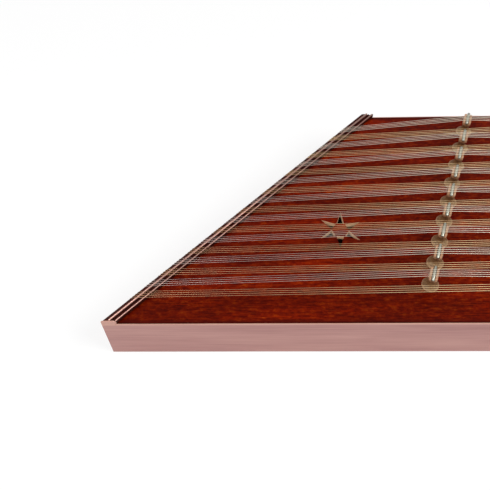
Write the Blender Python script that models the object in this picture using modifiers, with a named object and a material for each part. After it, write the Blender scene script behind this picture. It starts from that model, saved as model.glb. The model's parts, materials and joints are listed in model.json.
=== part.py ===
"""Nine-bridge Persian santur: trapezoid box, saddles, bridges, string courses and tuning pins.

Metres, +Z up, +Y towards the short rear side, origin at the centre of the box's bottom face.
"""
import math

import bpy
import bmesh
from mathutils import Matrix, Vector

# Box
LENGTH = 0.900            # long front side
DEPTH = 0.275             # front face to rear face
INSET = 0.273             # how far each rear corner lies inward of the front one
HEIGHT = 0.060            # bottom face to soundboard
BOARD = 0.005             # thickness of soundboard and back board
RAIL = 0.012              # thickness of front and rear rails
LIP = 0.0006              # rail edge left showing beside the boards
BLOCK = 0.030             # side block, measured square to the slanted side
LAND = 0.009              # top of a side block that the soundboard leaves bare
GAP = 0.0003              # clearance between touching pieces

# Saddles: heights are above the soundboard, distances are square to the slanted side
SADDLE_WIDTH = 0.0096
SADDLE_START = 0.0012     # behind the front face, which leaves room for an end cap
SHELF = 0.0052            # outer shelf, beside the rod
SHELF_EDGE = 0.0003       # chamfer along the shelf's outer edge
VALLEY = 0.0038           # floor between the rod and the bead
VALLEY_FROM = 0.0064      # distances from the side between which the floor is level
VALLEY_TO = 0.0072
BEAD_TOP = 0.0053         # moulded bead along the inner edge
BEAD_RADIUS = 0.0010
ROD_TOP = 0.0067          # top of the nut rod that the strings cross
ROD_AT = 0.0044           # distance of the nut rod from the side
ROD_RADIUS = 0.0011

# Rosettes
ROSE_X = 0.213            # distance of each rosette from the middle
ROSE_Y = -0.027
ROSE_CUTS = 6
ROSE_INNER = 0.0080       # base of each cut from the rosette's centre
ROSE_OUTER = 0.0235       # tip of each cut
ROSE_BASE = 0.0080        # width of each cut at its base
ROSE_TURN = math.radians(-4)

# Bridges
COURSES = 9
PITCH = 0.0258            # course to course, along Y
FIRST_STEEL_Y = -0.0950   # front-most steel course, over the left bridges
BRASS_SHIFT = -PITCH / 2  # brass courses lie half a pitch nearer the front
ROW_X = 0.1297            # front-most bridge from the middle
ROW_LEAN = 0.33           # how much nearer the middle a bridge stands per metre of Y
BRIDGE_FOOT = 0.0085      # radius of the foot
BRIDGE_NECK = 0.0038
BRIDGE_HEAD = 0.0080
BRIDGE_FLAT = 0.0047      # half the head's thickness along the strings
BRIDGE_TOP = 0.0218       # head's top above the soundboard
BRIDGE_WAIST = 0.0110     # height of the neck, above which the head is flattened
BRIDGE_OVERLAP = 0.0010   # how far the round foot and the flattened head run into each other
BRIDGE_ROD = 0.0012       # radius of the rod in the head
BRIDGE_ROD_LENGTH = 0.0170
STRING_REST = 0.0230      # top of the bridge rod above the soundboard

# Strings
STRINGS = 4
STRING_PITCH = 0.0023
WIRE = 0.0005             # string thickness, square in section
PLATEAU = 0.0066          # level stretch over a bridge, each way, so that the bridge can slide
STRING_END = 0.0095       # string ends below the soundboard, on the side face
TIE = 0.0014              # height of the tie that joins a course's ends

# Tuning pins
PIN_RADIUS = 0.0025
PIN_HOLE = 0.0028
PIN_DEPTH = 0.022         # shank inside the block
PIN_NECK = 0.009          # round part outside the block
PIN_REACH = 0.021         # block face to the pin's end
PIN_FLAT = 0.0042         # across the flats of the squared end
PIN_DROP = 0.0140         # top row of pins below the soundboard
PIN_OVERLAP = 0.0010      # how far the squared end runs into the round part
PIN_SIDES = 12

# Sound posts
POST_RADIUS = 0.0040

SLANT = math.hypot(DEPTH, INSET)
NORMAL_X = DEPTH / SLANT  # share of X in the slanted side's outward normal
NORMAL_Y = INSET / SLANT
FRONT = -DEPTH / 2
REAR = DEPTH / 2

WALNUT = ("walnut", (0.16, 0.035, 0.020), 0.45, 0.0)
SHEET = ("red lacquered walnut", (0.150, 0.014, 0.006), 0.22, 0.0)
ROSEWOOD = ("pink beech", (0.434, 0.216, 0.202), 0.45, 0.0)
EBONY = ("dark rosewood", (0.050, 0.012, 0.008), 0.30, 0.0)
BEECH = ("turned beech", (0.480, 0.240, 0.140), 0.40, 0.0)
STEEL = ("bright steel", (0.620, 0.610, 0.600), 0.28, 1.0)
BRASS = ("brass", (0.690, 0.470, 0.200), 0.30, 1.0)
SPRUCE = ("spruce", (0.560, 0.400, 0.240), 0.60, 0.0)


def clear_scene():
    for item in list(bpy.data.objects):
        bpy.data.objects.remove(item, do_unlink=True)


def new_collection(name):
    collection = bpy.data.collections.new(name)
    bpy.context.scene.collection.children.link(collection)
    return collection


clear_scene()
PARTS = new_collection("santoor")
CUTTERS = new_collection("cutters")
ROOT = bpy.data.objects.new("santoor_origin", None)
PARTS.objects.link(ROOT)


def finish_of(spec):
    """Principled material of one finish, made once."""
    name, colour, roughness, metallic = spec
    material = bpy.data.materials.get(name)
    if material is None:
        material = bpy.data.materials.new(name)
        material.use_nodes = True
        shader = material.node_tree.nodes["Principled BSDF"]
        shader.inputs["Base Color"].default_value = (*colour, 1)
        shader.inputs["Roughness"].default_value = roughness
        shader.inputs["Metallic"].default_value = metallic
        material.diffuse_color = (*colour, 1)
    return material


def move_to(item, collection):
    for owner in list(item.users_collection):
        owner.objects.unlink(item)
    collection.objects.link(item)


def as_part(item, name, spec):
    """Name a finished object, give it its finish and hang it on the root."""
    item.name = name
    item.data.name = name
    item.data.materials.clear()
    item.data.materials.append(finish_of(spec))
    item.parent = ROOT
    move_to(item, PARTS)
    return item


def smooth(item, degrees=35):
    item.data.shade_smooth()
    item.data.set_sharp_from_angle(angle=math.radians(degrees))


def plate(outline, low, high, holes=()):
    """Flat mesh from an outline in X and Y, with holes, between two heights."""
    curve = bpy.data.curves.new("outline", "CURVE")
    curve.dimensions = "2D"
    curve.fill_mode = "BOTH"
    curve.extrude = (high - low) / 2
    for points in (outline, *holes):
        spline = curve.splines.new("POLY")
        spline.points.add(len(points) - 1)
        for point, (x, y) in zip(spline.points, points):
            point.co = (x, y, 0, 1)
        spline.use_cyclic_u = True
    flat = bpy.data.objects.new("outline", curve)
    CUTTERS.objects.link(flat)
    flat.location.z = (low + high) / 2
    return mesh_from_curve(flat)


def mesh_from_curve(item):
    """Closed mesh object in place of a curve object."""
    bpy.context.view_layer.update()
    evaluated = item.evaluated_get(bpy.context.evaluated_depsgraph_get())
    mesh = bpy.data.meshes.new_from_object(evaluated)
    work = bmesh.new()
    work.from_mesh(mesh)
    bmesh.ops.remove_doubles(work, verts=work.verts, dist=1e-6)
    bmesh.ops.recalc_face_normals(work, faces=work.faces)
    work.transform(item.matrix_world)
    work.to_mesh(mesh)
    work.free()
    solid = bpy.data.objects.new(item.name, mesh)
    CUTTERS.objects.link(solid)
    bpy.data.objects.remove(item, do_unlink=True)
    return solid


def combine(item, other, operation):
    """Boolean of two meshes, applied, which uses up the second one."""
    modifier = item.modifiers.new(operation.lower(), "BOOLEAN")
    modifier.operation = operation
    modifier.solver = "EXACT"
    modifier.object = other
    bpy.context.view_layer.update()
    evaluated = item.evaluated_get(bpy.context.evaluated_depsgraph_get())
    mesh = bpy.data.meshes.new_from_object(evaluated)
    item.modifiers.clear()
    item.data = mesh
    bpy.data.objects.remove(other, do_unlink=True)
    return item


def side_x(y, distance=0.0):
    """Half width of the box at a depth, less a distance square to the slanted side."""
    return LENGTH / 2 - (y - FRONT) * INSET / DEPTH - distance / NORMAL_X


def trapezoid(front, rear, distance):
    return [
        (-side_x(front, distance), front),
        (side_x(front, distance), front),
        (side_x(rear, distance), rear),
        (-side_x(rear, distance), rear),
    ]


def side_strip(front, rear, outer, inner, sign):
    """Outline of a strip along one slanted side."""
    return [
        (sign * side_x(front, outer), front),
        (sign * side_x(front, inner), front),
        (sign * side_x(rear, inner), rear),
        (sign * side_x(rear, outer), rear),
    ]


def board_rabbet(low, high):
    return plate(trapezoid(FRONT + LIP, REAR - LIP, LAND), low, high)


def cut_both_rabbets(item):
    combine(item, board_rabbet(HEIGHT - BOARD - GAP, HEIGHT + RAIL), "DIFFERENCE")
    combine(item, board_rabbet(-RAIL, BOARD + GAP), "DIFFERENCE")


def slanted_prism(section, sign):
    """Section in (distance from side, height above soundboard), run along a slanted side."""
    curve = bpy.data.curves.new("section", "CURVE")
    curve.dimensions = "2D"
    curve.fill_mode = "BOTH"
    curve.extrude = SLANT * 0.6
    spline = curve.splines.new("POLY")
    spline.points.add(len(section) - 1)
    for point, (distance, height) in zip(spline.points, section):
        point.co = (-distance, height, 0, 1)
    spline.use_cyclic_u = True
    item = bpy.data.objects.new("section", curve)
    CUTTERS.objects.link(item)
    middle = Vector((sign * side_x(0), 0, HEIGHT))
    across = Vector((sign * NORMAL_X, NORMAL_Y, 0))
    up = Vector((0, 0, 1))
    turn = Matrix((across, up, across.cross(up))).transposed().to_4x4()
    item.matrix_world = Matrix.Translation(middle) @ turn
    return mesh_from_curve(item)


def between_faces(item, front, rear):
    """Keep the stretch of a prism between two planes square to Y."""
    outline = [(-LENGTH, front), (LENGTH, front), (LENGTH, rear), (-LENGTH, rear)]
    return combine(item, plate(outline, -HEIGHT, 2 * HEIGHT), "INTERSECT")


def arc(centre, radius, start, end, steps):
    """Points of an arc in a section, angles in degrees."""
    points = []
    for step in range(steps + 1):
        angle = math.radians(start + (end - start) * step / steps)
        points.append((centre[0] + radius * math.cos(angle), centre[1] + radius * math.sin(angle)))
    return points


def groove(level):
    """Round groove for the nut rod, from its outer to its inner side at a level."""
    bore = ROD_RADIUS + GAP
    centre = (ROD_AT, ROD_TOP - ROD_RADIUS)
    dip = math.degrees(math.asin((level - centre[1]) / bore))
    return arc(centre, bore, 180 - dip, 360 + dip, 6)


def saddle_section():
    """Outer shelf with the rod's groove, a lower floor, and a bead above the inner face."""
    points = [(0, GAP), (0, SHELF - SHELF_EDGE), (SHELF_EDGE, SHELF)]
    points += groove(SHELF)
    points += [(VALLEY_FROM, VALLEY), (VALLEY_TO, VALLEY)]
    points += arc((SADDLE_WIDTH - BEAD_RADIUS, BEAD_TOP - BEAD_RADIUS), BEAD_RADIUS, 150, 0, 6)
    points.append((SADDLE_WIDTH, GAP))
    return points


def build_rails():
    for name, front, rear in (("front_rail", FRONT, FRONT + RAIL), ("rear_rail", REAR - RAIL, REAR)):
        rail = plate(trapezoid(front, rear, 0), 0, HEIGHT)
        cut_both_rabbets(rail)
        as_part(rail, name, ROSEWOOD)


def build_boards():
    outline = trapezoid(FRONT + LIP + GAP, REAR - LIP - GAP, LAND + GAP)
    roses = rosette(-1) + rosette(1)
    as_part(plate(outline, HEIGHT - BOARD, HEIGHT, roses), "soundboard", SHEET)
    as_part(plate(outline, 0, BOARD), "back_board", WALNUT)


def rosette(sign):
    """Six tapering cuts, pointing outwards, on one side of the soundboard."""
    cuts = []
    for number in range(ROSE_CUTS):
        angle = math.radians(90 + number * 360 / ROSE_CUTS) + ROSE_TURN
        outward = Vector((math.cos(angle), math.sin(angle)))
        across = Vector((-outward.y, outward.x))
        corners = [
            outward * ROSE_OUTER,
            outward * ROSE_INNER + across * ROSE_BASE / 2,
            outward * ROSE_INNER - across * ROSE_BASE / 2,
        ]
        cuts.append([(-sign * corner.x + sign * ROSE_X, corner.y + ROSE_Y) for corner in corners])
    return cuts


def build_blocks():
    for name, sign in (("hitch_block", -1), ("pin_block", 1)):
        front = FRONT + RAIL + GAP
        block = plate(side_strip(front, REAR - RAIL - GAP, 0, BLOCK, sign), 0, HEIGHT)
        cut_both_rabbets(block)
        if name == "pin_block":
            for number in range(COURSES):
                combine(block, pin_hole(number), "DIFFERENCE")
        as_part(block, name, ROSEWOOD)


def build_saddles():
    for side, sign in (("left", -1), ("right", 1)):
        front = FRONT + SADDLE_START
        saddle = between_faces(slanted_prism(saddle_section(), sign), front, REAR)
        as_part(saddle, side + "_saddle", EBONY)
        section = arc((ROD_AT, ROD_TOP - ROD_RADIUS), ROD_RADIUS, 0, 330, 11)
        rod = between_faces(slanted_prism(section, sign), front, REAR)
        smooth(rod)
        as_part(rod, side + "_nut_rod", BRASS)


def course_y(number, metal):
    y = FIRST_STEEL_Y + number * PITCH
    return y + BRASS_SHIFT if metal == "brass" else y


def bridge_x(y, sign):
    """Place of a bridge of the left (-1) or right (1) row at a depth."""
    return sign * (ROW_X - (y - FIRST_STEEL_Y) * ROW_LEAN)


def bridge_profile():
    return [
        (0, BRIDGE_TOP),
        (BRIDGE_HEAD, BRIDGE_TOP),
        (BRIDGE_HEAD, 0.0180),
        (0.0066, 0.0158),
        (0.0046, 0.0138),
        (BRIDGE_NECK, 0.0110),
        (0.0040, 0.0066),
        (0.0052, 0.0044),
        (0.0074, 0.0032),
        (BRIDGE_FOOT, 0.0018),
        (BRIDGE_FOOT, GAP),
        (0, GAP),
    ]


def turned(profile, sides):
    """Closed turned mesh, from a profile that runs down its outer side."""
    mesh = bpy.data.meshes.new("profile")
    edges = [(start, start + 1) for start in range(len(profile) - 1)]
    mesh.from_pydata([(radius, 0, height) for radius, height in profile], edges, [])
    item = bpy.data.objects.new("turned", mesh)
    CUTTERS.objects.link(item)
    screw = item.modifiers.new("turn", "SCREW")
    screw.steps = sides
    screw.render_steps = sides
    screw.use_merge_vertices = True
    screw.merge_threshold = 1e-5
    bpy.context.view_layer.update()
    evaluated = item.evaluated_get(bpy.context.evaluated_depsgraph_get())
    item.data = bpy.data.meshes.new_from_object(evaluated)
    item.modifiers.clear()
    work = bmesh.new()
    work.from_mesh(item.data)
    bmesh.ops.remove_doubles(work, verts=work.verts, dist=1e-5)
    bmesh.ops.recalc_face_normals(work, faces=work.faces)
    work.to_mesh(item.data)
    work.free()
    return item


def cylinder(radius, length, sides, matrix):
    mesh = bpy.data.meshes.new("cylinder")
    work = bmesh.new()
    bmesh.ops.create_cone(
        work, cap_ends=True, segments=sides, radius1=radius, radius2=radius, depth=length, matrix=matrix
    )
    work.to_mesh(mesh)
    work.free()
    item = bpy.data.objects.new("cylinder", mesh)
    CUTTERS.objects.link(item)
    return item


def box(size, matrix):
    mesh = bpy.data.meshes.new("box")
    work = bmesh.new()
    bmesh.ops.create_cube(work, size=1, matrix=matrix @ Matrix.Diagonal((*size, 1)))
    work.to_mesh(mesh)
    work.free()
    item = bpy.data.objects.new("box", mesh)
    CUTTERS.objects.link(item)
    return item


def bridge_mesh(sign):
    """Turned bridge with a flattened head and its rod, turned towards its row's line."""
    item = turned(bridge_profile(), 16)
    head_room = box(
        (2 * BRIDGE_FLAT, 4 * BRIDGE_FOOT, HEIGHT), Matrix.Translation((0, 0, HEIGHT / 2 + BRIDGE_WAIST))
    )
    foot_room = cylinder(
        2 * BRIDGE_FOOT, BRIDGE_WAIST + BRIDGE_OVERLAP, 24,
        Matrix.Translation((0, 0, (BRIDGE_WAIST + BRIDGE_OVERLAP) / 2 - GAP)),
    )
    combine(item, combine(head_room, foot_room, "UNION"), "INTERSECT")
    across = Matrix.Translation((0, 0, STRING_REST - BRIDGE_ROD)) @ Matrix.Rotation(math.radians(90), 4, "X")
    combine(item, cylinder(BRIDGE_ROD, BRIDGE_ROD_LENGTH, 8, across), "UNION")
    item.data.transform(Matrix.Rotation(sign * math.atan(ROW_LEAN), 4, "Z"))
    smooth(item)
    mesh = item.data
    bpy.data.objects.remove(item, do_unlink=True)
    return mesh


def build_bridges():
    for side, sign, metal in (("left", -1, "steel"), ("right", 1, "brass")):
        shape = bridge_mesh(sign)
        for number in range(COURSES):
            y = course_y(number, metal)
            bridge = bpy.data.objects.new("bridge", shape.copy())
            CUTTERS.objects.link(bridge)
            as_part(bridge, "bridge_{}_{}".format(side, number + 1), BEECH)
            bridge.location = (bridge_x(y, sign), y, HEIGHT)
        bpy.data.meshes.remove(shape)


def string_path(y, bridge_at):
    """Line of one string at depth y, from the hitch side over saddles and bridge to the pin side."""
    half = WIRE / 2
    outside = -(GAP + half)
    nut = ROD_TOP + GAP + half
    crest = STRING_REST + GAP + half
    corner = SHELF + 2 * GAP
    ends = [
        (outside, -STRING_END),
        (outside, TIE - STRING_END),
        (outside, corner),
        (ROD_AT, nut),
    ]
    left = [(-side_x(y, distance), height) for distance, height in ends]
    right = [(side_x(y, distance), height) for distance, height in reversed(ends)]
    return left + [(bridge_at - PLATEAU, crest), (bridge_at + PLATEAU, crest)] + right


def build_course(number, metal):
    """Four strings as one solid, joined by a tie at each end."""
    middle = course_y(number, metal)
    bridge_at = bridge_x(middle, 1 if metal == "brass" else -1)
    depths = []
    for string in range(STRINGS):
        offset = (string - (STRINGS - 1) / 2) * STRING_PITCH
        depths += [middle + offset - WIRE / 2, middle + offset + WIRE / 2]
    rows = [string_path(y, bridge_at) for y in depths]
    stations = len(rows[0])
    work = bmesh.new()
    bmesh.ops.create_grid(work, x_segments=stations - 1, y_segments=len(depths) - 1, size=0.5)
    grid = sorted(work.verts, key=lambda vertex: (round(vertex.co.y, 4), vertex.co.x))
    for index, vertex in enumerate(grid):
        row, station = divmod(index, stations)
        x, height = rows[row][station]
        vertex.co = (x, depths[row], HEIGHT + height)
        vertex.index = index
    between = []
    for face in work.faces:
        row = min(vertex.index // stations for vertex in face.verts)
        station = min(vertex.index % stations for vertex in face.verts)
        if row % 2 and 0 < station < stations - 2:
            between.append(face)
    bmesh.ops.delete(work, geom=between, context="FACES")
    mesh = bpy.data.meshes.new("course")
    work.to_mesh(mesh)
    work.free()
    item = bpy.data.objects.new("course", mesh)
    CUTTERS.objects.link(item)
    wall = item.modifiers.new("wire", "SOLIDIFY")
    wall.thickness = WIRE
    wall.offset = 0
    wall.use_even_offset = True
    as_part(item, "strings_{}_{}".format(metal, number + 1), STEEL if metal == "steel" else BRASS)


def build_strings():
    for metal in ("steel", "brass"):
        for number in range(COURSES):
            build_course(number, metal)


def pin_place(number):
    """Point on the right side face where a brass course's first pin leaves the block."""
    y = course_y(number, "brass")
    return Vector((side_x(y), y, HEIGHT - PIN_DROP))


def pin_frame(number):
    """Frame whose Z points out of the right side face at a pin."""
    outward = Vector((NORMAL_X, NORMAL_Y, 0))
    up = Vector((0, 0, 1))
    across = outward.cross(up)
    turn = Matrix((up, across, outward)).transposed().to_4x4()
    return Matrix.Translation(pin_place(number)) @ turn


def pin_hole(number):
    depth = PIN_DEPTH + GAP
    inward = Matrix.Translation((0, 0, -depth / 2 + GAP))
    return cylinder(PIN_HOLE, depth + 2 * GAP, PIN_SIDES, pin_frame(number) @ inward)


def pin_mesh():
    """Round shank with a squared end, its axis along Z and the block's face at zero."""
    middle = Matrix.Translation((0, 0, (PIN_NECK - PIN_DEPTH) / 2))
    shank = cylinder(PIN_RADIUS, PIN_DEPTH + PIN_NECK, PIN_SIDES, middle)
    length = PIN_REACH - PIN_NECK + PIN_OVERLAP
    flats = box((PIN_FLAT, PIN_FLAT, length), Matrix.Translation((0, 0, PIN_REACH - length / 2)))
    combine(shank, flats, "UNION")
    smooth(shank)
    mesh = shank.data
    bpy.data.objects.remove(shank, do_unlink=True)
    return mesh


def build_pins():
    shape = pin_mesh()
    for number in range(COURSES):
        pin = bpy.data.objects.new("pin", shape.copy())
        CUTTERS.objects.link(pin)
        as_part(pin, "tuning_pin_{}".format(number + 1), STEEL)
        pin.matrix_basis = pin_frame(number)
    bpy.data.meshes.remove(shape)


def build_posts():
    """Posts between the two boards: under the middle of each bridge row, and one at the front."""
    middle = COURSES // 2
    steel = course_y(middle, "steel")
    brass = course_y(middle, "brass")
    places = (
        ("left", bridge_x(steel, -1), steel),
        ("right", bridge_x(brass, 1), brass),
        ("centre", 0, course_y(1, "brass")),
    )
    low = BOARD + GAP
    high = HEIGHT - BOARD - GAP
    for side, x, y in places:
        post = cylinder(POST_RADIUS, high - low, 12, Matrix.Translation((0, 0, 0)))
        smooth(post)
        as_part(post, "sound_post_" + side, SPRUCE)
        post.location = (x, y, (low + high) / 2)


build_boards()
build_rails()
build_blocks()
build_saddles()
build_posts()
build_bridges()
build_strings()
build_pins()
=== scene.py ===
"""Nine-bridge Persian santur: finishes, turned bridges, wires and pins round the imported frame."""
import json
import math

import bmesh
import bpy
from mathutils import Matrix, Vector


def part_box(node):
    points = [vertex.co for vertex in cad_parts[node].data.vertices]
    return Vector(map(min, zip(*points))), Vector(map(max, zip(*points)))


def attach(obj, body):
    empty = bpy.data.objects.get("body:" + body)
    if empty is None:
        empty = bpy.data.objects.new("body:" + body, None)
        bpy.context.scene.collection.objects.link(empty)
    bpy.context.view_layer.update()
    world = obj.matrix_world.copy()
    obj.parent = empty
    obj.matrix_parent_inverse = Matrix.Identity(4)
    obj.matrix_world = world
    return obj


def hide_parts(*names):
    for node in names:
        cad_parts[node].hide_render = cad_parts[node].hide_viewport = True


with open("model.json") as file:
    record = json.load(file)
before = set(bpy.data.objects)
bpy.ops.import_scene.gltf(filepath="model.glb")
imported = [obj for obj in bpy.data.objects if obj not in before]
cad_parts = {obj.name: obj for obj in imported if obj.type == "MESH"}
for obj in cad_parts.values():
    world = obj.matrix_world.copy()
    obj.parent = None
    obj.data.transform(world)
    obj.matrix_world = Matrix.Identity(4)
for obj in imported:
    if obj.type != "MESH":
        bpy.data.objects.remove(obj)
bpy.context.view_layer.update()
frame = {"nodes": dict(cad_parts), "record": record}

bl_info = {
    "name": "Persian Santur",
    "version": (1, 0, 0),
    "blender": (4, 5, 0),
    "location": "View3D > Sidebar > Santur",
    "description": "Dresses a nine-bridge santur with lacquer, turned bridges, wires and pins",
    "category": "Object",
}

MM = 0.001
NODES = frame["nodes"]

# The box, read from the frame: rear edge shorter than the front by an inset at each slanted side
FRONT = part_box("front_rail")[0].y
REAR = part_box("rear_rail")[1].y
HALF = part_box("front_rail")[1].x
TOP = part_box("soundboard")[1].z
DEPTH = REAR - FRONT
REAR_HALF = max(v.co.x for v in NODES["rear_rail"].data.vertices if v.co.y > REAR - 0.1 * MM)
INSET = HALF - REAR_HALF
SLANT = math.hypot(DEPTH, INSET)
NORMAL = Vector((DEPTH / SLANT, INSET / SLANT, 0))

# Saddles: they start at a Y of the frame, places on them are measured square to the slanted side,
# and tops are above the soundboard
SADDLE_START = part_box("left_saddle")[0].y
SADDLE_WIDTH = 9.6 * MM
SHELF_TOP = 5.2 * MM
ROD_AT = 4.4 * MM
ROD_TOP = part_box("left_nut_rod")[1].z - TOP
ROD_RADIUS = 1.1 * MM
# Thin brass rod along the saddle's inner ridge, standing in for that ridge's highlight: a painted highlight
HIGHLIGHT_ROD_AT = 8.9 * MM
HIGHLIGHT_ROD_TOP = 5.55 * MM
HIGHLIGHT_ROD_RADIUS = 0.7 * MM
ROD_MARGIN = 0.2 * MM

# End caps: their gap to the saddle, lift off the soundboard, and rounding of the upper edges
CAP_HEIGHT = 6.0 * MM
CAP_GAP = 0.2 * MM
CAP_LIFT = 0.1 * MM
CAP_INNER_ROUND = 2.4 * MM
CAP_OUTER_ROUND = 0.4 * MM

# Courses: metal, side of their bridges, and the sign of X there
METALS = (("steel", "left", -1), ("brass", "right", 1))
COURSES = 9
STRINGS = 4
STRING_PITCH = 2.3 * MM

# Bridges: heights are above the soundboard, and LEAN is a row's run in X for a unit of Y
CREST = 23.0 * MM
LEAN = 0.33
HEAD_FROM = 11 * MM
HEAD_HALF = 4.1 * MM
GROOVE_FLOOR = 19.9 * MM
GROOVE_WIDTH = 3.8 * MM
BRIDGE_ROD_LENGTH = 17.4 * MM

# Pins of each string of a course, in millimetres: how far frontwards of the course's middle and how
# far below the soundboard they stand, and the side of the pin, 1 frontwards, that its wire leaves
PIN_SPOTS = ((-6.1, 22.5, 1), (0.0, 14.0, -1), (0.3, 39.5, 1), (6.1, 31.0, -1))
TURNING_STRING = 1  # the brass string whose tuning pin is a CAD node
PIN_REACH = 21 * MM
PIN_NECK = 9 * MM
HITCH_REACH = 7 * MM
HITCH_RADIUS = 1.0 * MM
COIL_START = 2.6 * MM
LOOP_TURNS = 2
STEPS_PER_TURN = 14

# Wires: how far out from the side face each end starts, and how each rounds the saddle's outer edge
LOOP_OUT = 3.0 * MM
COIL_OUT = 4.4 * MM
WIRE_CLEAR = 0.1 * MM
WIRE_BELOW_EDGE = 0.2 * MM
WIRE_BEHIND_EDGE = 0.4 * MM


def side_x(y, distance=0.0):
    """Half width of the box at a depth, less a distance square to the slanted side."""
    return HALF - (y - FRONT) * INSET / DEPTH - distance / NORMAL.x


def middle_of(node_name):
    """Middle of a CAD node's box."""
    low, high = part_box(node_name)
    return (low + high) / 2


def linear(hex_colour, tint=(1, 1, 1)):
    """Linear RGBA of an sRGB hex value, times a tint."""
    channels = [int(hex_colour[place:place + 2], 16) / 255 for place in (1, 3, 5)]
    channels = [c / 12.92 if c <= 0.04045 else ((c + 0.055) / 1.055) ** 2.4 for c in channels]
    return (*(channel * share for channel, share in zip(channels, tint)), 1.0)


# Helpers for modelling


def deselect():
    """Leave edit mode and select nothing."""
    if bpy.context.object and bpy.context.object.mode != "OBJECT":
        bpy.ops.object.mode_set(mode="OBJECT")
    bpy.ops.object.select_all(action="DESELECT")


def pick(item):
    """Make an object the only selected one and the active one."""
    deselect()
    item.select_set(True)
    bpy.context.view_layer.objects.active = item


def select_where(item, test, kind="FACE"):
    """In edit mode, select only the faces or edges that pass a test."""
    bpy.ops.mesh.select_mode(type=kind)
    bpy.ops.mesh.select_all(action="DESELECT")
    mesh = bmesh.from_edit_mesh(item.data)
    for part in {"FACE": mesh.faces, "EDGE": mesh.edges}[kind]:
        part.select_set(bool(test(part)))
    bmesh.update_edit_mesh(item.data)


def smooth(degrees):
    """Shade the active piece smooth over edges flatter than an angle."""
    bpy.ops.object.shade_smooth_by_angle(angle=math.radians(degrees))


def apply_all(item):
    """Apply a piece's modifiers."""
    pick(item)
    for modifier in list(item.modifiers):
        bpy.ops.object.modifier_apply(modifier=modifier.name)


def face_outwards(item):
    """Merge a piece's doubles, then turn its faces outwards."""
    pick(item)
    bpy.ops.object.mode_set(mode="EDIT")
    bpy.ops.mesh.select_all(action="SELECT")
    bpy.ops.mesh.remove_doubles(threshold=0.005 * MM)
    bpy.ops.mesh.normals_make_consistent(inside=False)
    bpy.ops.object.mode_set(mode="OBJECT")


def block(size, middle):
    """Cube with its size and place in its mesh."""
    deselect()
    bpy.ops.mesh.primitive_cube_add(size=1, location=middle)
    bpy.ops.transform.resize(value=size)
    bpy.ops.object.transform_apply(location=True, rotation=True, scale=True)
    return bpy.context.object


def own_copy(item, name, matrix):
    """Copy of a modelled piece with its own mesh, its place in the mesh."""
    copy = bpy.data.objects.new(name, item.data.copy())
    copy.data.transform(matrix)
    bpy.context.scene.collection.objects.link(copy)
    return copy


def join(items, name):
    """Join pieces into one."""
    pick(items[0])
    for item in items[1:]:
        item.select_set(True)
    if len(items) > 1:
        bpy.ops.object.join()
    items[0].name = name
    items[0].data.name = name
    return items[0]


def turned(profile, sides, name):
    """Closed turned piece: a circle extruded and resized ring by ring up its axis."""
    deselect()
    radius, height = profile[0]
    bpy.ops.mesh.primitive_circle_add(
        vertices=sides, radius=radius, fill_type="NGON", location=(0, 0, height)
    )
    item = bpy.context.object
    item.name = name
    bpy.ops.object.transform_apply(location=True, rotation=False, scale=False)
    bpy.ops.object.mode_set(mode="EDIT")
    bpy.ops.mesh.select_all(action="SELECT")
    for next_radius, next_height in profile[1:]:
        step = next_height - height
        bpy.ops.mesh.extrude_region_move(TRANSFORM_OT_translate={"value": (0, 0, step)})
        if next_radius != radius:
            ratio = next_radius / radius
            bpy.ops.transform.resize(value=(ratio, ratio, 1), center_override=(0, 0, next_height))
        radius, height = next_radius, next_height
    bpy.ops.object.mode_set(mode="OBJECT")
    face_outwards(item)
    return item


def metal_rod(radius, length, dome, name):
    """Round rod up from the origin, its ends domed."""
    profile = [(radius - dome, 0), (radius, dome), (radius, length - dome), (radius - dome, length)]
    item = turned(profile, 20, name)
    smooth(50)
    return item


def wire_tube(points, radius):
    """Round wire along points: a vertex extruded from point to point, then given its thickness."""
    deselect()
    bpy.ops.mesh.primitive_plane_add(size=1 * MM, location=points[0])
    bpy.ops.object.transform_apply(location=True, rotation=False, scale=False)
    bpy.ops.object.mode_set(mode="EDIT")
    bpy.ops.mesh.select_mode(type="VERT")
    bpy.ops.mesh.select_all(action="SELECT")
    bpy.ops.mesh.merge(type="CENTER")
    for start, end in zip(points, points[1:]):
        bpy.ops.mesh.extrude_region_move(TRANSFORM_OT_translate={"value": end - start})
    bpy.ops.object.mode_set(mode="OBJECT")
    bpy.ops.object.convert(target="CURVE")
    curve = bpy.context.object.data
    curve.bevel_depth = radius
    curve.bevel_resolution = 1
    curve.use_fill_caps = True
    bpy.ops.object.convert(target="MESH")
    item = bpy.context.object
    face_outwards(item)
    smooth(60)
    return item


# Materials


def node(tree, kind, links=(), stops=(), tint=(1, 1, 1), **settings):
    """Add a node with its properties, inputs, colour stops and links.

    A setting that starts with in_ is an input, by name or number. A stop is a position and an sRGB
    hex value, and the tint multiplies it. A link is an output socket and the input it goes to.
    """
    made = tree.nodes.new(kind)
    for key, value in settings.items():
        if key.startswith("in_"):
            name = key[3:].replace("_", " ")
            made.inputs[int(name) if name.isdigit() else name].default_value = value
        else:
            setattr(made, key, value)
    if stops:
        elements = made.color_ramp.elements
        while len(elements) < len(stops):
            elements.new(0.5)
        for element, (position, colour) in zip(elements, stops):
            element.position = position
            element.color = linear(colour, tint)
    for source, target in links:
        tree.links.new(source, made.inputs[target])
    return made


def new_material(name, **sockets):
    """Material with values on its shader's own sockets."""
    material = bpy.data.materials.new(name)
    material.use_nodes = True
    shader = material.node_tree.nodes["Principled BSDF"]
    for socket, value in sockets.items():
        shader.inputs[socket.replace("_", " ")].default_value = value
    return material, material.node_tree, shader


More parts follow.
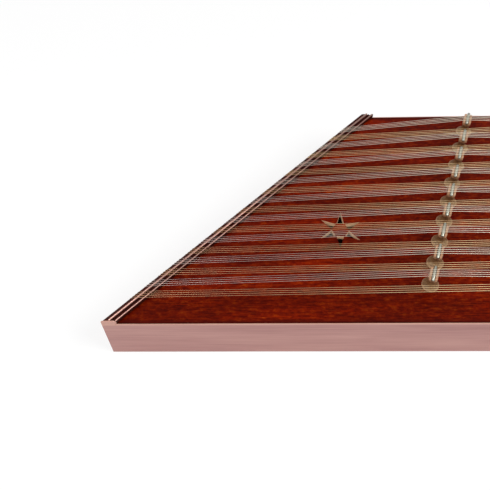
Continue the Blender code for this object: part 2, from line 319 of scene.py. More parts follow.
def grain(tree, along, across, detail, seed=(0, 0, 0)):
    """Noise stretched along X: the length and width of a wood's figure, or of a metal's draw lines."""
    place = node(tree, "ShaderNodeTexCoord")
    mapping = node(
        tree, "ShaderNodeMapping", [(place.outputs["Object"], "Vector")],
        in_Scale=(1 / along, 1 / across, 1 / across), in_Location=seed,
    )
    return node(
        tree, "ShaderNodeTexNoise", [(mapping.outputs["Vector"], "Vector")],
        in_Scale=1.0, in_Detail=detail, in_Roughness=0.6,
    ).outputs["Fac"]


def band(tree, axis, start, end):
    """Smooth step along an object axis: 0 up to start and 1 from end, whichever is the larger."""
    place = node(tree, "ShaderNodeTexCoord")
    parts = node(tree, "ShaderNodeSeparateXYZ", [(place.outputs["Object"], "Vector")])
    return node(
        tree, "ShaderNodeMapRange", [(parts.outputs[axis], "Value")],
        interpolation_type="SMOOTHSTEP", in_From_Min=start, in_From_Max=end,
    ).outputs["Result"]


def lay_on(tree, shader, colour, pores, strength):
    """Link a wood's colour, and the fine relief of its pores, to the shader."""
    relief = node(
        tree, "ShaderNodeBump", [(pores, "Height")], in_Strength=strength, in_Distance=0.2 * MM
    )
    tree.links.new(colour, shader.inputs["Base Color"])
    tree.links.new(relief.outputs["Normal"], shader.inputs["Normal"])


# Inputs and output of a Mix node that mixes colours
FACTOR, FIRST, SECOND, MIXED = 0, 6, 7, 2


def lacquered_walnut():
    """Walnut under a red-brown lacquer, darker along the front and rear edges.

    Its streaks are 1.2 mm wide, with a mottled figure and broad clouds over them. The lacquer is
    thin and worn dull, so it shines little. The sawn walls of the rosettes are bare and show pale.
    """
    tint = colours().lacquer
    material, tree, shader = new_material(
        "red_lacquered_walnut", Roughness=0.34, Specular_IOR_Level=0.04
    )
    fine = grain(tree, 30 * MM, 1.2 * MM, 8)
    mottle = grain(tree, 6 * MM, 2.8 * MM, 5, (7, 2, 5))
    broad = grain(tree, 120 * MM, 22 * MM, 3, (3, 1, 0))
    streaks = node(
        tree, "ShaderNodeValToRGB", [(fine, "Fac")], tint=tint,
        stops=[(0.34, "#420400"), (0.47, "#660E00"), (0.56, "#7C1800"), (0.70, "#9C380A")],
    )
    figure = node(
        tree, "ShaderNodeValToRGB", [(mottle, "Fac")], tint=tint,
        stops=[(0.36, "#440400"), (0.48, "#6C1200"), (0.58, "#882200"), (0.72, "#AC480C")],
    )
    clouds = node(
        tree, "ShaderNodeValToRGB", [(broad, "Fac")],
        stops=[(0.36, "#6C6262"), (0.50, "#B0A6A6"), (0.66, "#FFFFFF")],
    )
    # Darker colour within about 7 mm of the front edge and 8 mm of the rear edge
    edge_darkening = node(
        tree, "ShaderNodeValToRGB", [(fine, "Fac")], tint=tint, stops=[(0.3, "#200202"), (0.7, "#4A0A04")]
    )
    bare = node(
        tree, "ShaderNodeValToRGB", [(fine, "Fac")], stops=[(0.35, "#CBA27E"), (0.65, "#E8C8A8")]
    )
    figured = node(
        tree, "ShaderNodeMix", [(streaks.outputs["Color"], FIRST), (figure.outputs["Color"], SECOND)],
        data_type="RGBA", in_0=0.5,
    )
    clouded = node(
        tree, "ShaderNodeMix", [(figured.outputs[MIXED], FIRST), (clouds.outputs["Color"], SECOND)],
        data_type="RGBA", blend_type="MULTIPLY", in_0=0.55,
    )
    off_front = band(tree, "Y", FRONT + 0.5 * MM, FRONT + 7 * MM)
    off_rear = band(tree, "Y", REAR - 1 * MM, REAR - 8 * MM)
    off_edges = node(tree, "ShaderNodeMath", [(off_front, 0), (off_rear, 1)], operation="MULTIPLY")
    lacquer = node(
        tree, "ShaderNodeMix",
        [(off_edges.outputs[0], FACTOR), (edge_darkening.outputs["Color"], FIRST), (clouded.outputs[MIXED], SECOND)],
        data_type="RGBA",
    )
    surface = node(tree, "ShaderNodeNewGeometry")
    facing = node(tree, "ShaderNodeSeparateXYZ", [(surface.outputs["Normal"], "Vector")])
    is_top = node(
        tree, "ShaderNodeMath", [(facing.outputs["Z"], 0)], operation="GREATER_THAN", in_1=0.5
    )
    colour = node(
        tree, "ShaderNodeMix",
        [(is_top.outputs[0], FACTOR), (bare.outputs["Color"], FIRST), (lacquer.outputs[MIXED], SECOND)],
        data_type="RGBA",
    )
    lay_on(tree, shader, colour.outputs[MIXED], fine, 0.06)
    return material


def stained_beech():
    """Beech stained pink under satin lacquer, with straight grain; its top edge is paler as a painted
    highlight, where the edge catches the light.
    """
    tint = colours().rails
    material, tree, shader = new_material(
        "pink_stained_beech", Roughness=0.48, Specular_IOR_Level=0.25
    )
    fine = grain(tree, 90 * MM, 1.6 * MM, 7, (5, 2, 1))
    broad = grain(tree, 160 * MM, 24 * MM, 3, (1, 7, 4))
    figure = node(tree, "ShaderNodeMix", [(fine, 2), (broad, 3)], data_type="FLOAT", in_0=0.5)
    stained = node(
        tree, "ShaderNodeValToRGB", [(figure.outputs[0], "Fac")], tint=tint,
        stops=[(0.34, "#926460"), (0.5, "#A87A74"), (0.68, "#B68A80")],
    )
    # Painted highlight: a paler colour for the top edge, where it catches the light
    painted_edge_highlight = node(
        tree, "ShaderNodeValToRGB", [(fine, "Fac")], tint=tint, stops=[(0.34, "#B48478"), (0.68, "#CCA090")]
    )
    # Band just under the top of the rails where the painted highlight lies
    highlight_band = band(tree, "Z", TOP - 2.6 * MM, TOP - 1.2 * MM)
    colour = node(
        tree, "ShaderNodeMix",
        [(highlight_band, FACTOR), (stained.outputs["Color"], FIRST), (painted_edge_highlight.outputs["Color"], SECOND)],
        data_type="RGBA",
    )
    lay_on(tree, shader, colour.outputs[MIXED], fine, 0.08)
    return material


def turned_beech():
    """Turned beech, paler on the foot and the head; the neck between them is darker as painted shade in the
    hollow under the head.
    """
    tint = colours().bridges
    material, tree, shader = new_material("turned_beech", Roughness=0.4, Specular_IOR_Level=0.2)
    fine = grain(tree, 6 * MM, 1.2 * MM, 7, (2, 9, 3))
    pale = node(
        tree, "ShaderNodeValToRGB", [(fine, "Fac")], tint=tint,
        stops=[(0.34, "#8A6448"), (0.5, "#A67C5E"), (0.68, "#C69E80")],
    )
    # Painted shade: a darker colour for the neck's hollow under the wide head
    neck_painted_shade = node(
        tree, "ShaderNodeValToRGB", [(fine, "Fac")], tint=tint, stops=[(0.34, "#5A3C24"), (0.68, "#8A6644")]
    )
    above_foot = band(tree, "Z", TOP + 1.6 * MM, TOP + 3.4 * MM)
    lower = node(
        tree, "ShaderNodeMix",
        [(above_foot, FACTOR), (pale.outputs["Color"], FIRST), (neck_painted_shade.outputs["Color"], SECOND)],
        data_type="RGBA",
    )
    at_head = band(tree, "Z", TOP + 14 * MM, TOP + 19 * MM)
    colour = node(
        tree, "ShaderNodeMix",
        [(at_head, FACTOR), (lower.outputs[MIXED], FIRST), (pale.outputs["Color"], SECOND)],
        data_type="RGBA",
    )
    lay_on(tree, shader, colour.outputs[MIXED], fine, 0.1)
    return material


def plain_wood(name, shades, width, **sockets):
    """Straight-grained wood in three shades, with its grain along X."""
    material, tree, shader = new_material(name, **sockets)
    fine = grain(tree, 40 * width, width, 7, (2, 9, 3))
    figure = node(
        tree, "ShaderNodeValToRGB", [(fine, "Fac")], stops=list(zip((0.32, 0.5, 0.7), shades))
    )
    lay_on(tree, shader, figure.outputs["Color"], fine, 0.1)
    return material


def string_wire(name, dull, bright, tint):
    """Drawn wire with a painted sheen: brighter in the middle and duller towards its ends.

    Its uneven tone is drawn 18 mm long, because the wire's own draw lines are too fine to show.
    """
    material, tree, shader = new_material(name, Metallic=1.0, Roughness=0.3)
    # Painted sheen: brightest within 60 mm of the middle, fading to none by 340 mm
    sheen_full_reach, sheen_end_reach = 60 * MM, 340 * MM
    left = band(tree, "X", -sheen_end_reach, -sheen_full_reach)
    right = band(tree, "X", sheen_end_reach, sheen_full_reach)
    painted_sheen = node(tree, "ShaderNodeMath", [(left, 0), (right, 1)], operation="MULTIPLY")
    uneven = node(
        tree, "ShaderNodeMapRange", [(grain(tree, 18 * MM, 0.3 * MM, 4, (4, 4, 8)), "Value")],
        in_From_Min=0.3, in_From_Max=0.7, in_To_Min=-0.15, in_To_Max=0.15,
    )
    share = node(
        tree, "ShaderNodeMath", [(painted_sheen.outputs[0], 0), (uneven.outputs[0], 1)],
        operation="ADD", use_clamp=True,
    )
    # The dull colour is the wire's own and the bright one is the painted sheen's
    tone = node(
        tree, "ShaderNodeValToRGB", [(share.outputs[0], "Fac")], tint=tint, stops=[(0.0, dull), (1.0, bright)]
    )
    tree.links.new(tone.outputs["Color"], shader.inputs["Base Color"])
    return material


def drawn_metal(name, dark, light, roughness, width):
    """Metal with fine draw lines that vary its tone a little."""
    material, tree, shader = new_material(name, Metallic=1.0, Roughness=roughness)
    lines = grain(tree, 60 * width, width, 4, (4, 4, 8))
    tone = node(tree, "ShaderNodeValToRGB", [(lines, "Fac")], stops=[(0.3, dark), (0.7, light)])
    tree.links.new(tone.outputs["Color"], shader.inputs["Base Color"])
    return material


def oiled_walnut():
    """Walnut planed and oiled: plain brown and half matt."""
    return plain_wood(
        "satin_walnut", ("#4A2418", "#6E3B28", "#8A5138"), 2 * MM, Roughness=0.5, Specular_IOR_Level=0.3
    )


def moulded_rosewood():
    """Rosewood moulded and oiled: nearly black, with a faint shine in its hollows."""
    return plain_wood(
        "dark_rosewood", ("#200806", "#34100A", "#4E1E12"), 1.2 * MM, Roughness=0.4, Specular_IOR_Level=0.12
    )


def planed_spruce():
    """Spruce as planed: pale and matt, with close straight grain."""
    return plain_wood(
        "spruce", ("#B99468", "#CBA97E", "#DABE96"), 1 * MM, Roughness=0.7, Specular_IOR_Level=0.3
    )


# Finish of each material slot in the record
MAKERS = {
    "soundboard_lacquer": lacquered_walnut,
    "rail_wood": stained_beech,
    "back_wood": oiled_walnut,
    "saddle_wood": moulded_rosewood,
    "bridge_wood": turned_beech,
    "post_wood": planed_spruce,
    "rod_brass": lambda: drawn_metal("polished_brass_rod", "#8E6A60", "#B89084", 0.35, 0.4 * MM),
    "rod_steel": lambda: drawn_metal("polished_steel_rod", "#86867C", "#B4B4A6", 0.35, 0.4 * MM),
    # The second colour of each wire is its painted sheen
    "string_steel": lambda: string_wire("steel_wire", "#94807A", "#FAF2DC", colours().steel_wire),
    "string_brass": lambda: string_wire("brass_wire", "#987256", "#FCE2AC", colours().brass_wire),
    "pin_steel": lambda: drawn_metal("nickel_plate", "#B4B2B2", "#DAD8D8", 0.22, 0.6 * MM),
}
made_finishes = {}


def finish(slot_name):
    """Material of a slot, made the first time it is asked for."""
    if slot_name not in made_finishes:
        made_finishes[slot_name] = MAKERS[slot_name]()
    return made_finishes[slot_name]


def dress(item, slot_name):
    """Give a piece the finish of a record's slot."""
    item.data.materials.clear()
    item.data.materials.append(finish(slot_name))


# Sizes and colours that a user would change


class SanturColours(bpy.types.PropertyGroup):
    """Tints: each multiplies a finish's own colours, so white leaves them as they are"""

    lacquer: bpy.props.FloatVectorProperty(
        name="Lacquer", description="Tint of the soundboard's lacquer",
        default=(1, 1, 1), min=0, max=1, subtype="COLOR",
    )
    rails: bpy.props.FloatVectorProperty(
        name="Rails", description="Tint of the rails and side blocks",
        default=(1, 1, 1), min=0, max=1, subtype="COLOR",
    )
    bridges: bpy.props.FloatVectorProperty(
        name="Bridges", description="Tint of the turned bridges",
        default=(1, 1, 1), min=0, max=1, subtype="COLOR",
    )
    steel_wire: bpy.props.FloatVectorProperty(
        name="Steel wire", description="Tint of the steel strings",
        default=(1, 1, 1), min=0, max=1, subtype="COLOR",
    )
    brass_wire: bpy.props.FloatVectorProperty(
        name="Brass wire", description="Tint of the brass strings",
        default=(1, 1, 1), min=0, max=1, subtype="COLOR",
    )


class SanturBridges(bpy.types.PropertyGroup):
    """Sizes of a turned bridge"""

    foot_radius: bpy.props.FloatProperty(
        name="Foot radius", description="Radius of a bridge's round foot",
        default=8.5 * MM, unit="LENGTH", precision=4,
    )
    neck_radius: bpy.props.FloatProperty(
        name="Neck radius", description="Radius of the turned neck",
        default=3.7 * MM, unit="LENGTH", precision=4,
    )
    head_radius: bpy.props.FloatProperty(
        name="Head radius", description="Radius of the head before it is flattened",
        default=8.0 * MM, unit="LENGTH", precision=4,
    )
    rod_radius: bpy.props.FloatProperty(
        name="Rod radius", description="Radius of the steel rod under the strings",
        default=1.5 * MM, unit="LENGTH", precision=4,
    )


class SanturWires(bpy.types.PropertyGroup):
    """Sizes of the strings"""

    radius: bpy.props.FloatProperty(
        name="Wire radius", description="Radius of one string",
        default=0.18 * MM, unit="LENGTH", precision=5,
    )
    coils: bpy.props.IntProperty(
        name="Coils", description="Turns of wire on a tuning pin",
        default=4, min=1, max=8,
    )


class SanturPins(bpy.types.PropertyGroup):
    """Sizes of a tuning pin"""

    radius: bpy.props.FloatProperty(
        name="Pin radius", description="Radius of a tuning pin's shank",
        default=2.5 * MM, unit="LENGTH", precision=4,
    )
    flat: bpy.props.FloatProperty(
        name="Flat", description="Size across the pin's squared end",
        default=4.2 * MM, unit="LENGTH", precision=4,
    )


def colours():
    return bpy.context.scene.santur_colours


def bridge_sizes():
    return bpy.context.scene.santur_bridges


def wire_sizes():
    return bpy.context.scene.santur_wires


def pin_sizes():
    return bpy.context.scene.santur_pins


class SANTUR_OT_box(bpy.types.Operator):
    """Finish the box: rails, side blocks, boards, saddles and sound posts"""

    bl_idname = "santur.box"
    bl_label = "Finish the box"

    def execute(self, context):
        for part in frame["record"]["subparts"]:
            material = finish(part["material_slot"])
            item = NODES[part["node"]]
            if not item.material_slots:
                item.data.materials.append(material)
            for slot in item.material_slots:
                slot.material = material
        return {"FINISHED"}


def side_rod(name, sign, distance, top, radius):
    """Round rod along a saddle, at a distance from the side and with its top above the soundboard."""
    front, rear = SADDLE_START + ROD_MARGIN, REAR - ROD_MARGIN
    height = TOP + top - radius
    start = Vector((sign * side_x(front, distance), front, height))
    end = Vector((sign * side_x(rear, distance), rear, height))
    item = metal_rod(radius, (end - start).length, 0.3 * MM, name)
    turn = (end - start).to_track_quat("Z", "Y").to_matrix().to_4x4()
    item.data.transform(Matrix.Translation(start) @ turn)
    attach(item, "box")
    return item


def end_cap(name, sign):
    """Thin beech cap over a saddle's front end, its inner shoulder rounded down."""
    depth = SADDLE_START - FRONT - CAP_GAP
    inner, outer = side_x(FRONT, SADDLE_WIDTH), side_x(FRONT)
    centre = (inner + outer) / 2
    item = block(
        (outer - inner, depth, CAP_HEIGHT),
        (sign * centre, FRONT + depth / 2, TOP + CAP_LIFT + CAP_HEIGHT / 2),
    )
    item.name = name
    bpy.ops.object.mode_set(mode="EDIT")
    select_where(item, lambda face: face.calc_center_median().y > FRONT + 0.9 * depth)
    bpy.ops.transform.translate(value=(-sign * depth * INSET / DEPTH, 0, 0))
    for inside, width, segments in ((True, CAP_INNER_ROUND, 5), (False, CAP_OUTER_ROUND, 2)):
        select_where(
            item,
            lambda edge: all(
                v.co.z > TOP + CAP_HEIGHT - CAP_LIFT and (abs(v.co.x) < centre) == inside
                for v in edge.verts
            ),
            "EDGE",
        )
        bpy.ops.mesh.bevel(offset=width, segments=segments, affect="EDGES")
    bpy.ops.object.mode_set(mode="OBJECT")
    smooth(40)
    dress(item, "rail_wood")
    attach(item, "box")


class SANTUR_OT_saddles(bpy.types.Operator):
    """Model the nut rod, a thin brass rod standing in for the highlight along the saddle's inner ridge, and
    the end cap of each saddle
    """

    bl_idname = "santur.saddles"
    bl_label = "Model the saddle trim"

    def execute(self, context):
        for side, sign in (("left", -1), ("right", 1)):
            rod = side_rod(side + "_nut_rod_turned", sign, ROD_AT, ROD_TOP, ROD_RADIUS)
            dress(rod, "rod_brass")
            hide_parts(side + "_nut_rod")
            # Thin brass rod standing in for the highlight along the saddle's glossy inner ridge: a painted
            # highlight
            highlight_rod = side_rod(side + "_saddle_highlight_rod", sign, HIGHLIGHT_ROD_AT, HIGHLIGHT_ROD_TOP, HIGHLIGHT_ROD_RADIUS)
            dress(highlight_rod, "rod_brass")
            end_cap(side + "_saddle_cap", sign)
        return {"FINISHED"}


def bridge_body(sizes):
    """Turned bridge: domed foot, cove, slim neck and a wide head, flattened along the strings."""
    foot, neck, head = sizes.foot_radius, sizes.neck_radius, sizes.head_radius
    profile = [
        (foot - 0.3 * MM, 0.3 * MM),
        (foot, 0.6 * MM),
        (foot, 1.7 * MM),
        (foot - 0.35 * MM, 2.2 * MM),
        (foot - 1.3 * MM, 3.1 * MM),
        (foot - 2.6 * MM, 3.9 * MM),
        (neck + 1.1 * MM, 4.9 * MM),
        (neck + 0.4 * MM, 6.2 * MM),
        (neck, 8.4 * MM),
        (neck, 10.6 * MM),
        (neck + 0.5 * MM, 12.6 * MM),
        (neck + 1.7 * MM, 14.6 * MM),
        (head - 1.0 * MM, 16.8 * MM),
        (head - 0.2 * MM, 18.4 * MM),
        (head, 19.6 * MM),
        (head, 21.2 * MM),
        (head - 0.5 * MM, 21.8 * MM),
    ]
    item = turned(profile, 32, "bridge_body")
    bpy.ops.object.mode_set(mode="EDIT")
    for sign in (-1, 1):
        select_where(item, lambda face: face.calc_center_median().z > HEAD_FROM)
        bpy.ops.mesh.bisect(
            plane_co=(sign * HEAD_HALF, 0, 0), plane_no=(sign, 0, 0), use_fill=True, clear_outer=True
        )
    bpy.ops.object.mode_set(mode="OBJECT")
    cut_groove(item)
    face_outwards(item)
    bevel = item.modifiers.new("edge", "BEVEL")
    bevel.width = 0.25 * MM
    bevel.segments = 2
    bevel.limit_method = "ANGLE"
    bevel.angle_limit = math.radians(50)
    apply_all(item)
    smooth(40)
    return item


def cut_groove(item):
    """Cut the groove across the head in which the rod lies."""
    height = 6 * MM
    cutter = block((GROOVE_WIDTH, 40 * MM, height), (0, 0, GROOVE_FLOOR + height / 2))
    cut = item.modifiers.new("groove", "BOOLEAN")
    cut.operation = "DIFFERENCE"
    cut.object = cutter
    apply_all(item)
    bpy.data.objects.remove(cutter, do_unlink=True)


def bridge_rod(sizes):
    """Steel rod that lies in the bridge's groove under the strings."""
    item = metal_rod(sizes.rod_radius, BRIDGE_ROD_LENGTH, 0.35 * MM, "rod")
    lay_down = Matrix.Rotation(math.radians(90), 4, "X")
    item.data.transform(
        Matrix.Translation((0, BRIDGE_ROD_LENGTH / 2, CREST - sizes.rod_radius)) @ lay_down
    )
    return item


class SANTUR_OT_bridges(bpy.types.Operator):
    """Model one bridge with its rod and copy it to all eighteen places"""

    bl_idname = "santur.bridges"
    bl_label = "Model the bridges"

    def execute(self, context):
        sizes = bridge_sizes()
        body, rod = bridge_body(sizes), bridge_rod(sizes)
        for _, side, sign in METALS:
            turn = Matrix.Rotation(sign * math.atan(LEAN), 4, "Z")
            for number in range(1, COURSES + 1):
                cad = f"bridge_{side}_{number}"
                middle = middle_of(cad)
                place = Matrix.Translation((middle.x, middle.y, TOP)) @ turn
                wood = own_copy(body, cad + "_turned", place)
                dress(wood, "bridge_wood")
                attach(wood, cad)
                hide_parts(cad)
                steel = own_copy(rod, cad + "_rod", place)
                dress(steel, "rod_steel")
                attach(steel, cad)
        bpy.data.objects.remove(body, do_unlink=True)
        bpy.data.objects.remove(rod, do_unlink=True)
        return {"FINISHED"}


def face_frame(y, end):
    """Frame on a slanted side face as seen from outside: X to the right, Y up, Z outwards."""
    outward = Vector((end * NORMAL.x, NORMAL.y, 0))
    up = Vector((0, 0, 1))
    turn = Matrix((up.cross(outward), up, outward)).transposed().to_4x4()
    return Matrix.Translation((end * side_x(y), y, TOP)) @ turn


def pin_spot(end, string, aside=0.0, out=0.0):
    """Place of a string's pin in its face's frame, or of its wire: aside from the axis, and out."""
    frontwards, drop, wire_side = PIN_SPOTS[string]
    return Vector((-end * (frontwards * MM + wire_side * aside), -drop * MM, out))


def string_line(metal, side, sign, number, string, radius):
    """Centre line of one string, from its hitch pin over the bridge to its tuning pin."""
    middle = middle_of(f"strings_{metal}_{number}").y
    y = middle + (string - (STRINGS - 1) / 2) * STRING_PITCH
    over = middle_of(f"bridge_{side}_{number}").x - sign * LEAN * (y - middle)
    ends = []
    for end, pin_radius, out in ((-1, HITCH_RADIUS, LOOP_OUT), (1, pin_sizes().radius, COIL_OUT)):
        pin = face_frame(middle, end) @ pin_spot(end, string, pin_radius + radius, out)
        edge_z = TOP + SHELF_TOP
        corner = Vector((end * side_x(y, -radius - WIRE_CLEAR), y, edge_z - WIRE_BELOW_EDGE))
        shelf = Vector((end * side_x(y, WIRE_BEHIND_EDGE), y, edge_z + radius + WIRE_CLEAR))
        rod = Vector((end * side_x(y, ROD_AT), y, TOP + ROD_TOP + radius))
        ends.append([pin, corner, shelf, rod])
    crest = Vector((over, y, TOP + CREST + radius))
    return ends[0] + [crest] + ends[1][::-1]


class SANTUR_OT_strings(bpy.types.Operator):
    """Model the eighteen courses of four round wires"""

    bl_idname = "santur.strings"
    bl_label = "Model the strings"

    def execute(self, context):
        radius = wire_sizes().radius
        for metal, side, sign in METALS:
            for number in range(1, COURSES + 1):
                wires = [
                    wire_tube(string_line(metal, side, sign, number, string, radius), radius)
                    for string in range(STRINGS)
                ]
                name = f"strings_{metal}_{number}"
                course = join(wires, name + "_wires")
                dress(course, "string_" + metal)
                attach(course, "box")
                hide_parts(name)
        return {"FINISHED"}


def pin_piece(sizes):
    """Tuning pin: round shank, a shoulder and a squared, bevelled end."""
    radius = sizes.radius
    shank = turned(
        [(radius, -4 * MM), (radius, PIN_NECK - 0.6 * MM), (radius - 0.4 * MM, PIN_NECK)], 24, "shank"
    )
    smooth(50)
    height = PIN_REACH - PIN_NECK + 1 * MM
    head = block((sizes.flat, sizes.flat, height), (0, 0, PIN_REACH - height / 2))
    bpy.ops.object.mode_set(mode="EDIT")
    select_where(head, lambda face: face.calc_center_median().z > PIN_REACH - 0.1 * MM)
    bpy.ops.transform.resize(value=(0.86, 0.86, 1), center_override=(0, 0, PIN_REACH))
    bpy.ops.mesh.select_all(action="SELECT")
    bpy.ops.mesh.bevel(offset=0.3 * MM, segments=2, affect="EDGES")
    bpy.ops.object.mode_set(mode="OBJECT")
    smooth(40)
    return join([shank, head], "pin")


def coil_piece(radius, wire, turns):
    """Close turns of wire round a pin, spun from a small circle."""
    deselect()
    bpy.ops.mesh.primitive_circle_add(
        vertices=8, radius=wire, location=(radius + wire, 0, COIL_START), rotation=(math.radians(90), 0, 0)
    )
    item = bpy.context.object
    bpy.ops.object.transform_apply(location=True, rotation=True, scale=True)
    screw = item.modifiers.new("coil", "SCREW")
    screw.angle = math.radians(360 * turns)
    screw.screw_offset = 2.1 * wire * turns
    screw.steps = STEPS_PER_TURN * turns
    screw.render_steps = STEPS_PER_TURN * turns
    apply_all(item)
    bpy.ops.object.mode_set(mode="EDIT")
    bpy.ops.mesh.select_all(action="SELECT")
    bpy.ops.mesh.fill_holes(sides=8)
    bpy.ops.mesh.normals_make_consistent(inside=False)
    bpy.ops.object.mode_set(mode="OBJECT")
    smooth(60)
    return item


def hitch_piece():
    """Hitch pin: a small round pin with a domed head."""
    head = HITCH_RADIUS + 0.5 * MM
    profile = [
        (HITCH_RADIUS, -2 * MM),
        (HITCH_RADIUS, HITCH_REACH - 1.2 * MM),
        (head, HITCH_REACH - 1.0 * MM),
        (head, HITCH_REACH - 0.5 * MM),
        (0.8 * MM, HITCH_REACH),
    ]
    item = turned(profile, 16, "hitch_pin")
    smooth(40)
    return item


def turning_pin(number, copy, wound):
    """Dress a pin that turns as a CAD node does, with the coil that goes round with it."""
    turning = f"tuning_pin_{number}"
    copy.name = turning + "_squared"
    dress(copy, "pin_steel")
    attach(copy, turning)
    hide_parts(turning)
    wound.name = turning + "_coil"
    dress(wound, "string_brass")
    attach(wound, turning)


def course_pins(metal, number, pin, coil, hitch, loop):
    """Copy the pins to a course's places: tuning pins on the right side, hitch pins on the left."""
    middle = middle_of(f"strings_{metal}_{number}").y
    right, left = face_frame(middle, 1), face_frame(middle, -1)
    pins, coils, hitches, loops = [], [], [], []
    for string in range(STRINGS):
        spot = right @ Matrix.Translation(pin_spot(1, string))
        copy = own_copy(pin, "pin", spot)
        wound = own_copy(coil, "coil", spot)
        if metal == "brass" and string == TURNING_STRING:
            turning_pin(number, copy, wound)
        else:
            pins.append(copy)
            coils.append(wound)
        spot = left @ Matrix.Translation(pin_spot(-1, string))
        hitches.append(own_copy(hitch, "hitch", spot))
        loops.append(own_copy(loop, "loop", spot))
    for items, name, slot_name in (
        (pins, "tuning_pins", "pin_steel"),
        (coils, "coils", "string_" + metal),
        (hitches, "hitch_pins", "pin_steel"),
        (loops, "loops", "string_" + metal),
    ):
        piece = join(items, f"{name}_{metal}_{number}")
        dress(piece, slot_name)
        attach(piece, "box")


class SANTUR_OT_pins(bpy.types.Operator):
    """Model the tuning pins with their coils and the hitch pins with their loops"""

    bl_idname = "santur.pins"
    bl_label = "Model the pins"

    def execute(self, context):
        sizes, wires = pin_sizes(), wire_sizes()
        models = (
            pin_piece(sizes),
            coil_piece(sizes.radius, wires.radius, wires.coils),
            hitch_piece(),
            coil_piece(HITCH_RADIUS, wires.radius, LOOP_TURNS),
        )
        for metal, _, _ in METALS:
            for number in range(1, COURSES + 1):
                course_pins(metal, number, *models)
        for item in models:
            bpy.data.objects.remove(item, do_unlink=True)
        return {"FINISHED"}


# Stage: the photograph's camera, in metres and degrees, its focal length in pixels of the frame
CAMERA_AT = (-0.2915, -0.4361, 0.6272)
CAMERA_PITCH = 55.395
CAMERA_YAW = -3.111
CAMERA_ROLL = -2.94
FOCAL_PIXELS = 664.5
FRAME_PIXELS = 490
SENSOR = 36.0

# Lamps: name, place, size and watts, all aimed at one point
LAMPS = (
    ("key_lamp", (-1.5, -0.9, 2.1), (1.4, 1.0), 32),
    ("fill_lamp", (1.3, -0.6, 1.8), (1.2, 1.0), 30),
)
LAMP_AIM = (-0.1, 0, 0)
ROOM_LIGHT = 0.45

# Share of the floor's look to the camera that is plain white; the rest takes the shadow
PAPER_WHITE = 0.7
FLOOR_DROP = 0.5 * MM


def camera_matrix():
    """Camera's place and turn; pitch is downwards and yaw is clockwise from the rear."""
    pitch, yaw, roll = (math.radians(angle) for angle in (CAMERA_PITCH, CAMERA_YAW, CAMERA_ROLL))
    forward = Vector((math.sin(yaw) * math.cos(pitch), math.cos(yaw) * math.cos(pitch), -math.sin(pitch)))
    right = Vector((math.cos(yaw), -math.sin(yaw), 0))
    up = right.cross(forward)
    rolled_right = right * math.cos(roll) + up * math.sin(roll)
    rolled_up = up * math.cos(roll) - right * math.sin(roll)
    turn = Matrix((rolled_right, rolled_up, -forward)).transposed().to_4x4()
    return Matrix.Translation(CAMERA_AT) @ turn


def add_lamp(name, place, size, watts):
    """Soft rectangular lamp."""
    bpy.ops.object.light_add(type="AREA", location=place)
    lamp = bpy.context.object
    lamp.name = name
    lamp.data.shape = "RECTANGLE"
    lamp.data.size, lamp.data.size_y = size
    lamp.data.energy = watts
    lamp.rotation_mode = "QUATERNION"
    lamp.rotation_quaternion = (Vector(LAMP_AIM) - Vector(place)).to_track_quat("-Z", "Y")


def white_paper():
    """Matt white paper: mostly plain white to the camera, with the object's soft shadow on it."""
    material, tree, shader = new_material("white_paper", Base_Color=(0.95, 0.95, 0.95, 1), Roughness=0.9)
    path = node(tree, "ShaderNodeLightPath")
    share = node(
        tree, "ShaderNodeMath", [(path.outputs["Is Camera Ray"], 0)], operation="MULTIPLY", in_1=PAPER_WHITE
    )
    white = node(tree, "ShaderNodeEmission", in_Color=(1, 1, 1, 1), in_Strength=1.0)
    both = node(
        tree, "ShaderNodeMixShader", [(share.outputs[0], 0), (shader.outputs[0], 1), (white.outputs[0], 2)]
    )
    tree.links.new(both.outputs[0], tree.nodes["Material Output"].inputs["Surface"])
    return material


def white_room():
    """World that lights softly, and is plain white to the camera and in gloss and glass."""
    world = bpy.data.worlds.new("white_room")
    world.use_nodes = True
    tree = world.node_tree
    tree.nodes.clear()
    path = node(tree, "ShaderNodeLightPath")
    seen = node(
        tree, "ShaderNodeMath", [(path.outputs["Is Camera Ray"], 0), (path.outputs["Is Glossy Ray"], 1)],
        operation="MAXIMUM",
    )
    seen = node(
        tree, "ShaderNodeMath", [(seen.outputs[0], 0), (path.outputs["Is Transmission Ray"], 1)],
        operation="MAXIMUM",
    )
    room = node(tree, "ShaderNodeBackground", in_Color=(1, 1, 1, 1), in_Strength=ROOM_LIGHT)
    plain = node(tree, "ShaderNodeBackground", in_Color=(1, 1, 1, 1), in_Strength=1.0)
    both = node(
        tree, "ShaderNodeMixShader", [(seen.outputs[0], 0), (room.outputs[0], 1), (plain.outputs[0], 2)]
    )
    node(tree, "ShaderNodeOutputWorld", [(both.outputs[0], "Surface")])
    return world


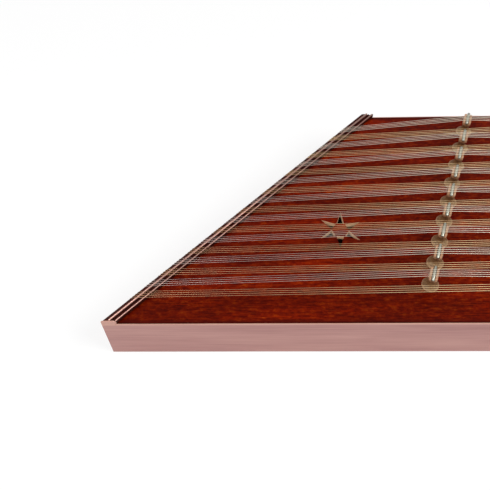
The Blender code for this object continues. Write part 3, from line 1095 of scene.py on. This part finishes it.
class SANTUR_OT_stage(bpy.types.Operator):
    """Set up the white floor, soft lamps and the camera"""

    bl_idname = "santur.stage"
    bl_label = "Set up the stage"

    def execute(self, context):
        deselect()
        bpy.ops.mesh.primitive_plane_add(size=30, location=(0, 0, -FLOOR_DROP))
        floor = bpy.context.object
        floor.name = "floor"
        floor.data.materials.append(white_paper())
        for lamp in LAMPS:
            add_lamp(*lamp)
        context.scene.world = white_room()
        camera = bpy.data.objects.new("photo_camera", bpy.data.cameras.new("photo_camera"))
        context.scene.collection.objects.link(camera)
        camera.data.sensor_width = SENSOR
        camera.data.lens = SENSOR * FOCAL_PIXELS / FRAME_PIXELS
        camera.data.clip_start = 0.01
        camera.matrix_world = camera_matrix()
        context.scene.camera = camera
        context.scene.view_settings.view_transform = "Standard"
        return {"FINISHED"}


class SANTUR_PT_panel(bpy.types.Panel):
    """Buttons, sizes and colours of the santur"""

    bl_label = "Santur"
    bl_idname = "SANTUR_PT_panel"
    bl_space_type = "VIEW_3D"
    bl_region_type = "UI"
    bl_category = "Santur"

    def draw(self, context):
        layout = self.layout
        for group in (colours(), bridge_sizes(), wire_sizes(), pin_sizes()):
            for name in group.__annotations__:
                layout.prop(group, name)
        for operator in OPERATORS:
            layout.operator(operator.bl_idname)


GROUPS = {
    "santur_colours": SanturColours,
    "santur_bridges": SanturBridges,
    "santur_wires": SanturWires,
    "santur_pins": SanturPins,
}
OPERATORS = (
    SANTUR_OT_stage, SANTUR_OT_box, SANTUR_OT_saddles, SANTUR_OT_bridges, SANTUR_OT_strings, SANTUR_OT_pins
)


def register():
    for item in (*GROUPS.values(), *OPERATORS, SANTUR_PT_panel):
        bpy.utils.register_class(item)
    for name, group in GROUPS.items():
        setattr(bpy.types.Scene, name, bpy.props.PointerProperty(type=group))


def unregister():
    for name in GROUPS:
        delattr(bpy.types.Scene, name)
    for item in reversed((*GROUPS.values(), *OPERATORS, SANTUR_PT_panel)):
        bpy.utils.unregister_class(item)


def main():
    register()
    bpy.ops.santur.stage()
    bpy.ops.santur.box()
    bpy.ops.santur.saddles()
    bpy.ops.santur.bridges()
    bpy.ops.santur.strings()
    bpy.ops.santur.pins()


if __name__ == "__main__":
    main()
